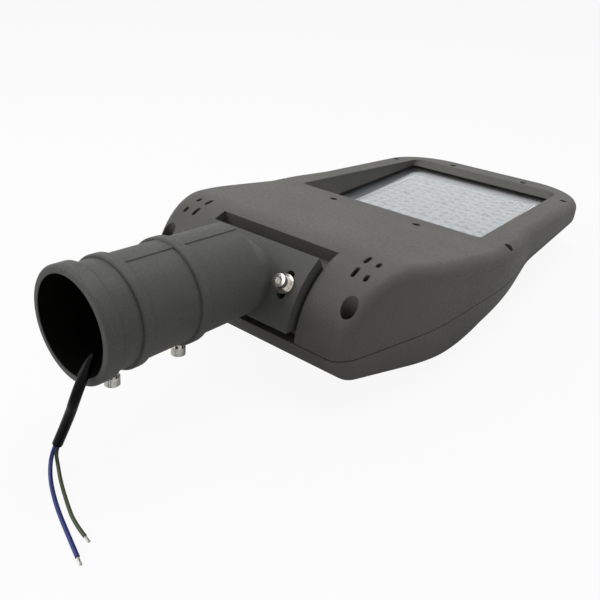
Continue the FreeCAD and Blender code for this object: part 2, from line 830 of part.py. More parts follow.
def flange_roller(name, radius):
    """A cylinder about the tilt axis, drawn at height 0 as the level adapter is."""
    roller = make("Part::Cylinder", name, Radius=radius, Height="4*flange_half")
    turn(roller, (1, 0, 0), "90")
    return move(roller, "0", "2*flange_half", "0")


def pole_adapter():
    mouth = "-mouth_reach"
    spigot = about_spigot("spigot", [
        (mouth, "0"),
        (mouth, "bead_radius", "bead_round"),
        (mouth + " + bead_length", "bead_radius"),
        (mouth + " + bead_length", "groove_radius"),
        (mouth + " + first_ring_start", "groove_radius"),
        (mouth + " + first_ring_start", "first_ring_radius", "ring_round"),
        (mouth + " + first_ring_start + first_ring_length", "first_ring_radius", "ring_round"),
        (mouth + " + first_ring_start + first_ring_length", "spigot_radius"),
        (mouth + " + second_ring_start", "spigot_radius"),
        (mouth + " + second_ring_start", "second_ring_radius", "ring_round"),
        (mouth + " + second_ring_start + second_ring_length", "second_ring_radius", "ring_round"),
        (mouth + " + second_ring_start + second_ring_length", "spigot_radius"),
        ("-neck_start", "spigot_radius"),
        ("-neck_start", "0"),
    ])
    far_section = turn(make("Part::Circle", "neck_far_section", Radius="spigot_radius"), (0, 1, 0), "90")
    move(far_section, "-neck_start", "0", "spigot_rise")
    near_section = turn(make("Part::Ellipse", "neck_near_section", MajorRadius="neck_half",
                             MinorRadius="neck_half_height"), (1, 1, 1), "120")
    move(near_section, "-neck_end", "0", "neck_rise")
    neck = doc.addObject("Part::Loft", "neck")
    neck.Sections = [far_section, near_section]
    neck.Solid = True
    neck.Ruled = True
    rib_block = box("rib_block", (mouth + " + first_ring_start", "-neck_start"), both_sides("rib_half"),
                    ("spigot_rise", "spigot_rise + bead_radius"))
    rib = common("rib", rib_block, level("rib_round", "rib_radius", "spigot_rise", mouth, "-neck_end"))
    set_bosses = [
        upright("set_boss_" + place, "set_boss", "%s + %s_set_reach" % (mouth, place), "0",
                "spigot_rise - set_boss_end", "spigot_rise - stop_radius")
        for place in ("front", "back")
    ]
    wedge_reach = "2*flange_radius"
    wedge = extrude("flange_wedge", outline("flange_wedge_outline", [
        ("0", "0"),
        ("-%s*cos(flange_low_deg*1deg)" % wedge_reach, "%s*sin(flange_low_deg*1deg)" % wedge_reach),
        ("-%s*cos(flange_high_deg*1deg)" % wedge_reach, "%s*sin(flange_high_deg*1deg)" % wedge_reach),
    ], "side"), (0, 1, 0), "flange_half", "flange_half")
    flange = common("flange", wedge, flange_roller("flange_outside", "flange_radius"))
    body = fuse("adapter_body", [spigot, neck, rib, flange] + set_bosses)

    holes = [
        flange_roller("flange_inside", "saddle_radius + flange_gap"),
        level("bore", "bore_radius", "spigot_rise", mouth + " - cut_margin", mouth + " + bore_depth"),
        level("pole_stop", "stop_radius", "spigot_rise", mouth + " + bore_depth - cut_margin",
              mouth + " + bore_depth + stop_depth"),
        level("neck_room", "neck_core", "neck_rise", mouth + " + bore_depth + stop_depth + end_wall", "0"),
        level("grommet_hole", "grommet_radius", "neck_rise", mouth + " + bore_depth", "-neck_end"),
    ]
    for side, sign in SIDES:
        y = sign + "slot_half"
        low = "(slot_centre_deg - %s)" % SLOT_TURN
        high = "(slot_centre_deg + %s)" % SLOT_TURN
        sweep = extrude("slot_wedge_" + side, outline("slot_outline_" + side, [
            ("0", "0"),
            ("-%s*cos(%s*1deg)" % (wedge_reach, low), "%s*sin(%s*1deg)" % (wedge_reach, low)),
            ("-%s*cos(%s*1deg)" % (wedge_reach, high), "%s*sin(%s*1deg)" % (wedge_reach, high)),
        ], "side"), (0, 1, 0), "slot_width/2", "slot_width/2")
        holes.append(move(sweep, "0", y, "0"))
        for end, degrees in (("low", low), ("high", high)):
            holes.append(radial("slot_%s_%s" % (end, side), "slot_width/2", degrees, y, "saddle_radius/2",
                                wedge_reach, "0"))
    for place in ("front", "back"):
        holes.append(upright("set_thread_" + place, "bolt_shank + thread_gap",
                             "%s + %s_set_reach" % (mouth, place), "0",
                             "spigot_rise - 2*bead_radius", "spigot_rise - stop_radius/2"))
    node_on_adapter(cut("pole_adapter", body, fuse("adapter_holes", holes)), "pole_adapter")

    for place in ("front", "back"):
        pin = screw("set_screw_" + place, "set_head", "set_head_height", "bolt_shank",
                    "set_head_end - set_head_height - set_tip", "bolt_socket/2/cos(30deg)")
        turn(pin, (0, 1, 0), "tilt + 180")
        reach = "(mouth_reach - %s_set_reach)" % place
        height = "(spigot_rise - set_head_end + set_head_height)"
        move(pin, "%s - %s*cos(tilt*1deg) + %s*sin(tilt*1deg)" % (AXIS_X, reach, height), "0",
             "axis_height + %s*sin(tilt*1deg) + %s*cos(tilt*1deg)" % (reach, height))
        node(pin, "pole_set_screw_" + place, False)

    wall_start = mouth + " + bore_depth + stop_depth"
    ring = fuse("grommet_body", [
        level("grommet_waist", "grommet_radius", "neck_rise", wall_start, wall_start + " + end_wall"),
        level("grommet_lip_out", "grommet_lip_radius", "neck_rise", wall_start + " - grommet_lip",
              wall_start),
        level("grommet_lip_in", "grommet_lip_radius", "neck_rise", wall_start + " + end_wall",
              wall_start + " + end_wall + grommet_lip"),
    ])
    eye = level("grommet_eye", "cable_radius + cable_gap", "neck_rise", mouth, "0")
    node_on_adapter(cut("cable_grommet", ring, eye), "cable_grommet")


def driver_room():
    deck = "rail_top + driver_tab_thick"
    case = box("driver_case", ("driver_start", "driver_end"), both_sides("driver_half"),
               ("rail_top", "rail_top + driver_height"))
    tabs = box("driver_tabs", ("driver_start - driver_tab", "driver_end + driver_tab"),
               both_sides("driver_half"), ("rail_top", deck))
    holes = [upright("driver_hole_%d" % i, "small_shank + thread_gap", x, y, "rail_top - cut_margin", deck)
             for i, (x, y) in enumerate(DRIVER_SCREWS)]
    node(cut("led_driver", fuse("driver_body", [case, tabs]), fuse("driver_holes", holes)), "led_driver")
    for count, (x, y) in enumerate(DRIVER_SCREWS, 1):
        pin = screw("driver_screw_%d" % count, "small_head", "flat_head_height", "small_shank",
                    "wall + driver_tab_thick", "small_shank")
        move(pin, "%s + %s" % (AXIS_X, x), y, deck)
        node(pin, "driver_screw_%d" % count, False)
    block_node("terminal_block", ("block_reach", "block_reach + block_length"),
               ("-block_inner - block_width", "-block_inner"), ("seat_height", "seat_height + block_height"))
    block_node("surge_protector", ("surge_reach", "surge_reach + surge_length"),
               ("surge_inner", "surge_inner + surge_width"), ("seat_height", "seat_height + surge_height"))


def tube(label, route, radius):
    """A round tube along straight runs joined by tangent arcs, as large as the runs allow."""
    points = [FreeCAD.Vector(*point) for point in route]
    edges = []
    start = points[0]
    length = 0
    for before, corner, after in zip(points, points[1:], points[2:]):
        run_in = (corner - before).Length
        run_out = (after - corner).Length
        into = (corner - before).normalize()
        out = (after - corner).normalize()
        half_turn = into.getAngle(out)/2
        back = 0.45*min(run_in, run_out)
        bend = back/math.tan(half_turn)
        first = corner - into*back
        last = corner + out*back
        inward = (out - into).normalize()
        middle = corner + inward*(bend/math.cos(half_turn) - bend)
        edges.append(Part.LineSegment(start, first).toShape())
        edges.append(Part.Arc(first, middle, last).toShape())
        length += (first - start).Length + 2*half_turn*bend
        print("%s: arc radius %.1f mm, turn %.0f degrees" % (label, bend, math.degrees(2*half_turn)))
        start = last
    edges.append(Part.LineSegment(start, points[-1]).toShape())
    length += (points[-1] - start).Length
    path = Part.Wire(edges)
    section = Part.Wire([Part.makeCircle(radius, points[0], points[1] - points[0])])
    shape = path.makePipeShell([section], True, False)
    thing = doc.addObject("Part::Feature", label)
    thing.Shape = shape
    thing.Label = label
    nodes.append(thing)
    ratio = shape.Volume/(math.pi*radius**2*length)
    print("%s: length %.1f mm, volume over section times length %.4f" % (label, length, ratio))
    return thing


def at_axis(points):
    """Points given from the tilt axis, moved to the head's own frame."""
    shift = number(AXIS_X)
    return [(x + shift, y, z) for x, y, z in points]


def from_adapter(along, y, rise):
    """A point given along the level spigot, tilted with the adapter, seen from the tilt axis."""
    lean = math.radians(number("tilt"))
    return (along*math.cos(lean) + rise*math.sin(lean), y,
            number("axis_height") - along*math.sin(lean) + rise*math.cos(lean))


def cables():
    eye = number("-mouth_reach + bore_depth + stop_depth + end_wall + grommet_lip")
    end = FreeCAD.Vector(-208, 0, 17)
    sheath = [
        from_adapter(eye, 0, number("neck_rise")),
        from_adapter(eye - 36, 0, number("neck_rise")),
        (-150, -1, 77),
        (-188, -15, 76.5),
        (-203, -18, 57),
        (-202, -8.5, 40),
        tuple(end),
    ]
    tube("supply_cable", at_axis(sheath), number("cable_radius"))
    down = (end - FreeCAD.Vector(*sheath[-2])).normalize()
    apart = FreeCAD.Vector(1, 0.2, 0).cross(down).cross(down).normalize()*number("core_spread")
    blue = [
        tuple(end + apart),
        tuple(end + apart + down*8),
        (-216.5, -2.5, 4.2),
        (-222, -12, 1.5),
        (-229, -29, 1.3),
        (-234.5, -46, 1.3),
        (-240.3, -64.8, 1.3),
    ]
    earth = [
        tuple(end - apart),
        tuple(end - apart + down*8),
        (-211, -2, 4.5),
        (-216.5, -13, 1.5),
        (-223, -29, 1.2),
        (-228.5, -44, 1.2),
        (-230.1, -56.3, 1.2),
    ]
    cores = (
        ("blue_core", blue, "core_radius", "blue_bare"),
        ("earth_core", earth, "earth_radius", "earth_bare"),
    )
    for label, route, radius, bare in cores:
        tube(label, at_axis(route), number(radius))
        last = FreeCAD.Vector(*at_axis(route)[-1])
        heading = (last - FreeCAD.Vector(*at_axis(route)[-2])).normalize()
        strand = doc.addObject("Part::Feature", label + "_end")
        strand.Shape = Part.makeCylinder(number("strand_radius"), number(bare), last, heading)
        strand.Label = label + "_end"
        nodes.append(strand)

    deck = number("rail_top + driver_height")
    sill = number("board_seat")
    radius = number("lead_radius")
    lead = [
        (number("driver_end"), 0, deck - 4*radius),
        (number("driver_end") + 10, 0, deck - 4*radius),
        (number("sink_near") - 2, 0, sill + 3.5),
        (number("sink_near") + 16, 0, sill + 2.2),
        (number("lamp_reach - board_side/2"), 0, sill + radius),
    ]
    tube("led_lead", at_axis(lead), radius)
    block_face = number("-block_inner")
    inner = [
        (-42, 0, 68),
        (-16, -1, 66),
        (4, -6, 50),
        (16, -22, number("seat_height + block_height/2")),
        (16, block_face, number("seat_height + block_height/2")),
    ]
    tube("inner_cable", at_axis(inner), number("cable_radius"))


cover = window_cover()
top_shell()
seals_and_glass(cover)
lamp()
cover_screws()
adapter_fixings()
pole_adapter()
driver_room()
cables()
doc.recompute()

for thing in doc.Objects:
    if "Invalid" in thing.State or "Error" in thing.State:
        raise RuntimeError("%s did not build: %s" % (thing.Name, thing.State))
for thing in nodes:
    if thing.Shape.isNull() or not thing.Shape.isValid():
        raise RuntimeError("%s has no valid shape" % thing.Label)

os.makedirs("parts", exist_ok=True)
for thing in nodes:
    thing.Shape.exportStep("parts/%s.step" % thing.Label)
print("%d pieces written" % len(nodes))
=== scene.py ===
import math

import bmesh
import bpy
from mathutils import Matrix, Vector


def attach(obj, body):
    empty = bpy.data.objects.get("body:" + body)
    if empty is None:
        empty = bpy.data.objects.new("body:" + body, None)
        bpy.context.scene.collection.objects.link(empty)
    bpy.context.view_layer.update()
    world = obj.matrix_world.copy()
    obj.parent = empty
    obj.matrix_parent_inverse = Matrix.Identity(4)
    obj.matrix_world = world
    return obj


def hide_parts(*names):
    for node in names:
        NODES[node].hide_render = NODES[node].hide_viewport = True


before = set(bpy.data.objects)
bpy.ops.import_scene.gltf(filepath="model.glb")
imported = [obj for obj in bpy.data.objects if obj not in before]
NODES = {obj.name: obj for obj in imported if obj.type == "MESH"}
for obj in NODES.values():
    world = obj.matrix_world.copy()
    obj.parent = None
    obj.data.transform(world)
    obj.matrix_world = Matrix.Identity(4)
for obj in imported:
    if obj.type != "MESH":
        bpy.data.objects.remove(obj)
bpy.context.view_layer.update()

# x of the adapter's tilt axis, from which the source measures, and the axis's height
SHIFT = -0.1072625
AXIS_HEIGHT = 0.0395

# Camera, fitted to the photograph: place, angles, and the focal length in its pixels
CAMERA_PLACE = (SHIFT - 0.3486, -0.2793, 0.2763)
CAMERA_YAW = math.radians(37.15)
CAMERA_PITCH = math.radians(-28.57)
CAMERA_ROLL = math.radians(3.52)
FOCAL_PIXELS = 627.4
PHOTO_PIXELS = 600
SENSOR_WIDTH = 36
CLIP_START = 0.01
CLIP_END = 100

# The spigot's bore: its slope, its rise over the tilt axis, its radius and its inner end
TILT = math.radians(3.5)
SPIGOT_RISE = 0.0384
BORE_RADIUS = 0.0312
BORE_FADE = 0.0006
BORE_END = -0.0705

# The bright seat under the cover glass, and the lenses
SEAT_BOX = (("X", 0.071, 0.256), ("Y", -0.099, 0.099), ("Z", 0.0405, 0.0425))
LAMP_X = SHIFT + 0.2709
LAMP_PITCH = 0.0121
DOT_START = 0.1
DOT_END = 0.3

# Powder coat: noise scales, gloss and the rounding of its edges
CLOUD_SCALE = 14
PEEL_SCALE = 420
GRAIN_SCALE = 1500
SPECK_SCALE = 2600
COAT_ROUGH = 0.55
BORE_ROUGH = 0.3
COAT_SHINE = 0.4
EDGE_ROUND = 0.0009
EDGE_SAMPLES = 6

# Other surfaces
MOTTLE_SCALE = 60
MOTTLE = 0.06
LATHE_SCALE = 900
SPOT_SCALE = 500
STEEL_ROUGH = 0.13
FROST_SCALE = 700
GLASS_INDEX = 1.5
LENS_INDEX = 1.58
LENS_CLEARNESS = 0.1

# Colours as 0 to 255, and the two tints of the glass as shares of light
HOUSING_PAINT = (86, 85, 81)
ADAPTER_PAINT = (84, 84, 82)
# painted shade: near black for the inside of the spigot's bore, standing in for the shade deep in the
# tube
BORE_PAINTED_SHADE = (15, 15, 13)
BARE_SEAT = (112, 119, 123)
STEEL_BRIGHT = (222, 219, 212)
LENS_DARK = (136, 141, 144)
LENS_PALE = (153, 157, 160)
# dark dot over each lens: the chip seen through, together with painted shade of the lens dome
LENS_DOT_CHIP_AND_SHADE = (92, 96, 99)
GLASS_TINT = (0.93, 0.95, 0.955, 1)
GLASS_SHADOW = (0.9, 0.93, 0.935, 1)
WHITE = (1, 1, 1, 1)

# Cable: radii in metres, and the routes in millimetres from the tilt axis, as in the source
SHEATH_RADIUS = 0.0031
BLUE_RADIUS = 0.00125
EARTH_RADIUS = 0.0011
CORE_SPREAD = 1.6
CORE_START = 8
SHEATH_ROUTE = [
    (-74.22, 0, 72.59),
    (-110.15, 0, 74.79),
    (-150, -1, 77),
    (-188, -15, 76.5),
    (-203, -18, 57),
    (-202, -8.5, 40),
    (-208, 0, 17),
]
SHEATH_END = Vector(SHEATH_ROUTE[-1])
DOWN = (SHEATH_END - Vector(SHEATH_ROUTE[-2])).normalized()
APART = Vector((1, 0.2, 0)).cross(DOWN).cross(DOWN).normalized()*CORE_SPREAD
BLUE_ROUTE = [
    tuple(SHEATH_END + APART),
    tuple(SHEATH_END + APART + DOWN*CORE_START),
    (-216.5, -2.5, 4.2),
    (-222, -12, 1.5),
    (-229, -29, 1.3),
    (-234.5, -46, 1.3),
    (-240.3, -64.8, 1.3),
]
EARTH_ROUTE = [
    tuple(SHEATH_END - APART),
    tuple(SHEATH_END - APART + DOWN*CORE_START),
    (-211, -2, 4.5),
    (-216.5, -13, 1.5),
    (-223, -29, 1.2),
    (-228.5, -44, 1.2),
    (-230.1, -56.3, 1.2),
]

# Bared ends: one strand in the middle of six, twisted and a little frayed
OUTER_STRANDS = 6
STRAND_RADIUS = 0.00026
STRAND_CIRCLE = 0.00052
STRAND_RINGS = 12
STRAND_SIDES = 8
STRAND_TWIST = 100
STRAND_FRAY = 0.16
STRAND_STAGGER = 0.04
STRAND_TIP = 0.75

# Floor, world and lamps
FLOOR_Z = 0.0
FLOOR_REACH = 30
FLOOR_COLOUR = (0.86, 0.86, 0.86, 1)
FLOOR_GLOW = 0.92
WORLD_FILL = 0.32
LAMPS = (
    # name, place, aim, width in metres, watts
    ("lamp_over", (0.25, 0.1, 1.6), (0.05, 0, 0.05), 1.3, 11.5),
    ("lamp_left", (-1.2, 0.9, 0.9), (-0.1, 0, 0.05), 0.9, 7.5),
)


# Objects

def show(thing):
    """Puts an object into the scene."""
    bpy.context.scene.collection.objects.link(thing)
    return thing


def mesh_thing(name, mesh, material):
    """Turns a bmesh into an object of the scene with one material."""
    data = bpy.data.meshes.new(name)
    mesh.to_mesh(data)
    mesh.free()
    data.materials.append(material)
    return show(bpy.data.objects.new(name, data))


def make_camera():
    """The photograph's view."""
    yaw, pitch, roll = CAMERA_YAW, CAMERA_PITCH, CAMERA_ROLL
    ahead = Vector((math.cos(yaw)*math.cos(pitch), math.sin(yaw)*math.cos(pitch), math.sin(pitch)))
    level = Vector((math.sin(yaw), -math.cos(yaw), 0))
    upright = level.cross(ahead)
    right = math.cos(roll)*level + math.sin(roll)*upright
    up = math.cos(roll)*upright - math.sin(roll)*level
    data = bpy.data.cameras.new("camera")
    data.sensor_width = SENSOR_WIDTH
    data.lens = FOCAL_PIXELS/PHOTO_PIXELS*data.sensor_width
    data.clip_start = CLIP_START
    data.clip_end = CLIP_END
    camera = bpy.data.objects.new("camera", data)
    turn = Matrix((right, up, -ahead)).transposed().to_4x4()
    camera.matrix_world = Matrix.Translation(CAMERA_PLACE) @ turn
    bpy.context.scene.camera = show(camera)


# Node helpers

def node_tools(tree):
    """The adder and the linker of a node tree."""
    def add(kind, **values):
        node = tree.nodes.new(kind)
        for key, value in values.items():
            if hasattr(node, key) and key not in node.inputs:
                setattr(node, key, value)
            else:
                node.inputs[key].default_value = value
        return node

    def link(out, into):
        tree.links.new(out, into)

    return add, link


def nodes_of(name):
    """A new material with a Principled shader: (material, adder, linker, shader)."""
    material = bpy.data.materials.new(name)
    material.use_nodes = True
    tree = material.node_tree
    return (material, *node_tools(tree), tree.nodes["Principled BSDF"])


def set_inputs(node, values):
    for name, value in values.items():
        node.inputs[name].default_value = value


def put(link, value, slot):
    """Links a socket to an input, or sets the input to a value."""
    if isinstance(value, bpy.types.NodeSocket):
        link(value, slot)
    else:
        slot.default_value = value


def combine(add, link, operation, *values):
    """One step of arithmetic on sockets or numbers."""
    node = add("ShaderNodeMath", operation=operation)
    for value, slot in zip(values, node.inputs):
        put(link, value, slot)
    return node.outputs["Value"]


def vector_step(add, link, operation, source, second=None):
    """One step of vector arithmetic on a socket, with a fixed second vector where it takes one."""
    node = add("ShaderNodeVectorMath", operation=operation)
    link(source, node.inputs[0])
    if second is not None:
        node.inputs[1].default_value = second
    return node.outputs["Value" if operation == "LENGTH" else "Vector"]


def fade_out(add, link, source, start, end):
    """1 up to start, falling to 0 at end."""
    node = add("ShaderNodeMapRange", **{"From Min": start, "From Max": end, "To Min": 1.0, "To Max": 0.0})
    link(source, node.inputs["Value"])
    return node.outputs["Result"]


def noise(add, link, place, scale, detail=2.0, rough=0.5):
    texture = add("ShaderNodeTexNoise", Scale=scale, Detail=detail, Roughness=rough)
    link(place.outputs["Object"], texture.inputs["Vector"])
    return texture.outputs["Fac"]


def ramp(add, link, source, low, high, first, last):
    """Maps source from low..high onto two colours or greys."""
    node = add("ShaderNodeValToRGB")
    for element, position, colour in zip(node.color_ramp.elements, (low, high), (first, last)):
        element.position = position
        element.color = colour
    link(source, node.inputs["Fac"])
    return node.outputs["Color"]


def mix(add, link, factor, first, second, blend="MIX"):
    """Mixes two colours by a factor, each a value or a socket."""
    node = add("ShaderNodeMix", data_type="RGBA", blend_type=blend)
    for value, slot in ((factor, 0), (first, 6), (second, 7)):
        put(link, value, node.inputs[slot])
    return node.outputs[2]


def bump(add, link, height, distance, strength, below=None):
    node = add("ShaderNodeBump", Distance=distance, Strength=strength)
    link(height, node.inputs["Height"])
    if below is not None:
        link(below, node.inputs["Normal"])
    return node.outputs["Normal"]


def end_in_blend(material, add, link, factor, first, second):
    """Ends a material in a blend of two shaders."""
    blend = add("ShaderNodeMixShader")
    link(factor, blend.inputs["Fac"])
    link(first, blend.inputs[1])
    link(second, blend.inputs[2])
    link(blend.outputs["Shader"], material.node_tree.nodes["Material Output"].inputs["Surface"])


# Colours

def srgb(red, green, blue):
    """A colour written as 0 to 255, as the linear values that a shader takes."""
    def linear(value):
        value /= 255
        return value/12.92 if value <= 0.04045 else ((value + 0.055)/1.055)**2.4
    return linear(red), linear(green), linear(blue), 1.0


def tinted(colour, share):
    """A colour written as 0 to 255, made darker or lighter."""
    return srgb(*[min(value*share, 255) for value in colour])


def grey(value):
    return value, value, value, 1.0


# Masks

def inside_bore(add, link):
    """1 within the spigot's bore, 0 on its outside, by the distance from the sloping tube's middle."""
    place = add("ShaderNodeTexCoord")
    moved = vector_step(add, link, "SUBTRACT", place.outputs["Object"], (SHIFT, 0, AXIS_HEIGHT))
    turned = add("ShaderNodeVectorRotate", rotation_type="Y_AXIS", Angle=-TILT)
    link(moved, turned.inputs["Vector"])
    centred = vector_step(add, link, "SUBTRACT", turned.outputs["Vector"], (0, 0, SPIGOT_RISE))
    across = vector_step(add, link, "MULTIPLY", centred, (0, 1, 1))
    far = vector_step(add, link, "LENGTH", across)
    near = fade_out(add, link, far, BORE_RADIUS, BORE_RADIUS + BORE_FADE)
    split = add("ShaderNodeSeparateXYZ")
    link(centred, split.inputs["Vector"])
    outward = combine(add, link, "LESS_THAN", split.outputs["X"], BORE_END)
    return combine(add, link, "MULTIPLY", near, outward)


def lamp_seat(add, link):
    """1 on the flat seat under the cover glass, which is left bright, 0 on the rest of the shell."""
    place = add("ShaderNodeTexCoord")
    split = add("ShaderNodeSeparateXYZ")
    link(place.outputs["Object"], split.inputs["Vector"])
    along, across, high = [
        combine(add, link, "COMPARE", split.outputs[axis], (start + end)/2, (end - start)/2)
        for axis, start, end in SEAT_BOX]
    return combine(add, link, "MULTIPLY", combine(add, link, "MULTIPLY", along, across), high)


def lens_centres(add, link):
    """1 over the middle of each lens, for a dark dot that is the chip seen through together with painted
    shade of the lens dome, 0 between the lenses.
    """
    place = add("ShaderNodeTexCoord")
    moved = vector_step(add, link, "SUBTRACT", place.outputs["Object"], (LAMP_X, 0, 0))
    cells = add("ShaderNodeVectorMath", operation="SCALE", Scale=1/LAMP_PITCH)
    link(moved, cells.inputs[0])
    part = vector_step(add, link, "FRACTION", cells.outputs["Vector"])
    centred = vector_step(add, link, "SUBTRACT", part, (0.5, 0.5, 0))
    flat = vector_step(add, link, "MULTIPLY", centred, (1, 1, 0))
    return fade_out(add, link, vector_step(add, link, "LENGTH", flat), DOT_START, DOT_END)


# Materials

def powder_coat(name, paint=HOUSING_PAINT, bore=False, seat=False):
    """Dark grey textured powder coat: fine sand grain, faint clouding and dust-pale specks."""
    material, add, link, shader = nodes_of(name)
    place = add("ShaderNodeTexCoord")
    cloud = noise(add, link, place, CLOUD_SCALE, 3)
    grain = noise(add, link, place, GRAIN_SCALE, 2, 0.6)
    peel = noise(add, link, place, PEEL_SCALE, 2)
    speck = noise(add, link, place, SPECK_SCALE, 0)
    body = ramp(add, link, cloud, 0.3, 0.7, tinted(paint, 0.93), tinted(paint, 1.06))
    grained = ramp(add, link, grain, 0.25, 0.75, grey(0.72), grey(1.0))
    specks = ramp(add, link, speck, 0.73, 0.8, grey(0.0), grey(0.5))
    colour = mix(add, link, 1.0, body, grained, "MULTIPLY")
    colour = mix(add, link, specks, colour, tinted(paint, 1.5))
    finish = ramp(add, link, peel, 0.3, 0.7, grey(COAT_ROUGH - 0.06), grey(COAT_ROUGH + 0.08))
    if bore:
        within = inside_bore(add, link)
        # painted shade: the inside of the spigot's bore is darkened to near black and made glossier
        colour = mix(add, link, within, colour, srgb(*BORE_PAINTED_SHADE))
        finish = mix(add, link, within, finish, grey(BORE_ROUGH))
    if seat:
        colour = mix(add, link, lamp_seat(add, link), colour, srgb(*BARE_SEAT))
    link(colour, shader.inputs["Base Color"])
    link(finish, shader.inputs["Roughness"])
    shader.inputs["Specular IOR Level"].default_value = COAT_SHINE
    edge = add("ShaderNodeBevel", samples=EDGE_SAMPLES, Radius=EDGE_ROUND)
    coarse = bump(add, link, peel, 0.0002, 0.25, edge.outputs["Normal"])
    link(bump(add, link, grain, 0.00012, 0.55, coarse), shader.inputs["Normal"])
    return material


def plain(name, colour, rough, metal=0.0, grain=0.0, grain_scale=900, shine=0.5):
    """Moulded plastic, rubber or metal: slight mottling, uneven gloss and a fine surface grain."""
    material, add, link, shader = nodes_of(name)
    place = add("ShaderNodeTexCoord")
    mottle = noise(add, link, place, MOTTLE_SCALE, 3)
    fine = noise(add, link, place, grain_scale, 2)
    body = ramp(add, link, mottle, 0.3, 0.7, tinted(colour, 1 - MOTTLE), tinted(colour, 1 + MOTTLE))
    link(body, shader.inputs["Base Color"])
    finish = ramp(add, link, fine, 0.3, 0.7, grey(max(rough - 0.05, 0.02)), grey(rough + 0.05))
    link(finish, shader.inputs["Roughness"])
    set_inputs(shader, {"Metallic": metal, "Specular IOR Level": shine})
    if grain:
        link(bump(add, link, fine, grain, 0.5), shader.inputs["Normal"])
    return material


def stainless(name):
    """Turned steel: fine rings of the lathe and a few darker spots."""
    material, add, link, shader = nodes_of(name)
    place = add("ShaderNodeTexCoord")
    wave = add("ShaderNodeTexWave", Scale=LATHE_SCALE, Distortion=2.0, Detail=2.0)
    link(place.outputs["Object"], wave.inputs["Vector"])
    rings = wave.outputs["Fac"]
    spots = noise(add, link, place, SPOT_SCALE, 3)
    body = ramp(add, link, spots, 0.35, 0.6, tinted(STEEL_BRIGHT, 0.86), srgb(*STEEL_BRIGHT))
    link(body, shader.inputs["Base Color"])
    finish = ramp(add, link, rings, 0.0, 1.0, grey(STEEL_ROUGH - 0.04), grey(STEEL_ROUGH + 0.06))
    link(finish, shader.inputs["Roughness"])
    shader.inputs["Metallic"].default_value = 1.0
    link(bump(add, link, rings, 0.00001, 0.2), shader.inputs["Normal"])
    return material


def clear_glass(name):
    """Tempered cover glass with a faint green-blue tint, which lets the lamps through."""
    material, add, link, shader = nodes_of(name)
    set_inputs(shader, {"Base Color": GLASS_TINT, "Roughness": 0.02, "Transmission Weight": 1.0,
                        "IOR": GLASS_INDEX})
    path = add("ShaderNodeLightPath")
    through = add("ShaderNodeBsdfTransparent", Color=GLASS_SHADOW)
    end_in_blend(material, add, link, path.outputs["Is Shadow Ray"], shader.outputs["BSDF"],
                 through.outputs["BSDF"])
    return material


def lens_plastic(name):
    """Polycarbonate lens plate: milky clear, with a fine frosting between its lenses."""
    material, add, link, shader = nodes_of(name)
    place = add("ShaderNodeTexCoord")
    frost = noise(add, link, place, FROST_SCALE, 3)
    body = ramp(add, link, frost, 0.3, 0.7, srgb(*LENS_DARK), srgb(*LENS_PALE))
    # a dark dot in each lens: the chip seen through, together with painted shade of the dome
    dotted = mix(add, link, lens_centres(add, link), body, srgb(*LENS_DOT_CHIP_AND_SHADE))
    link(dotted, shader.inputs["Base Color"])
    link(ramp(add, link, frost, 0.3, 0.7, grey(0.16), grey(0.3)), shader.inputs["Roughness"])
    set_inputs(shader, {"Transmission Weight": LENS_CLEARNESS, "IOR": LENS_INDEX})
    link(bump(add, link, frost, 0.0001, 0.3), shader.inputs["Normal"])
    return material


def dress(material, *names):
    """Gives a material to CAD nodes, in every slot of their meshes."""
    for name in names:
        slots = NODES[name].data.materials
        if len(slots) == 0:
            slots.append(material)
        for i in range(len(slots)):
            slots[i] = material


def dress_like(material, *starts):
    """Gives a material to every CAD node whose name begins with one of the given words."""
    dress(material, *[name for name in NODES if name.startswith(starts)])


make_camera()

COAT = powder_coat("powder_coat_housing")
SHELL_COAT = powder_coat("powder_coat_shell", seat=True)
# the adapter's coat carries painted shade inside the spigot's bore
ADAPTER_COAT = powder_coat("powder_coat_adapter", paint=ADAPTER_PAINT, bore=True)
STEEL = stainless("stainless_bright")
SCREW = plain("screw_black_oxide", (38, 38, 39), 0.4, metal=0.8, grain=0.00004)
BLACK_RUBBER = plain("rubber_black", (22, 22, 22), 0.62, grain=0.00008, grain_scale=1200, shine=0.3)
GLASS = clear_glass("glass_clear")
LENS = lens_plastic("lens_milky")
BOARD = plain("board_white", (226, 230, 232), 0.45)
CHIP = plain("chip_phosphor", (232, 200, 74), 0.5, grain=0.00003)
DRIVER = plain("driver_aluminium", (176, 178, 180), 0.42, metal=0.7, grain=0.00003)
WHITE_PLASTIC = plain("plastic_white", (228, 228, 222), 0.45)
SHEATH = plain("sheath_black", (2, 2, 2), 0.18, grain=0.00002, grain_scale=500, shine=0.1)
BLUE = plain("insulation_blue", (12, 38, 118), 0.35, grain=0.00003)
EARTH = plain("insulation_earth", (58, 72, 40), 0.35, grain=0.00003)
TIN = plain("tinned_copper", (188, 184, 176), 0.28, metal=1.0, grain=0.00004, grain_scale=3000)
WHITE_SHEATH = plain("sheath_white", (214, 214, 208), 0.45)

dress(COAT, "window_cover")
dress(SHELL_COAT, "top_shell")
dress(ADAPTER_COAT, "pole_adapter")
dress(BLACK_RUBBER, "housing_gasket", "glass_gasket", "cable_grommet")
dress(GLASS, "cover_glass")
dress(LENS, "lens_plate")
dress(BOARD, "led_board")
dress(CHIP, "led_chips")
dress_like(SCREW, "cover_screw", "corner_screw")
dress_like(STEEL, "lens_screw", "driver_screw", "flat_washer", "spring_washer", "adapter_bolt",
           "pole_set_screw")
dress(DRIVER, "led_driver")
dress(WHITE_PLASTIC, "terminal_block", "surge_protector")
dress(WHITE_SHEATH, "led_lead")
dress(SHEATH, "inner_cable")


# Cable

def from_axis(points):
    """Millimetres from the tilt axis as places in the shared frame."""
    return [Vector((x/1000 + SHIFT, y/1000, z/1000)) for x, y, z in points]


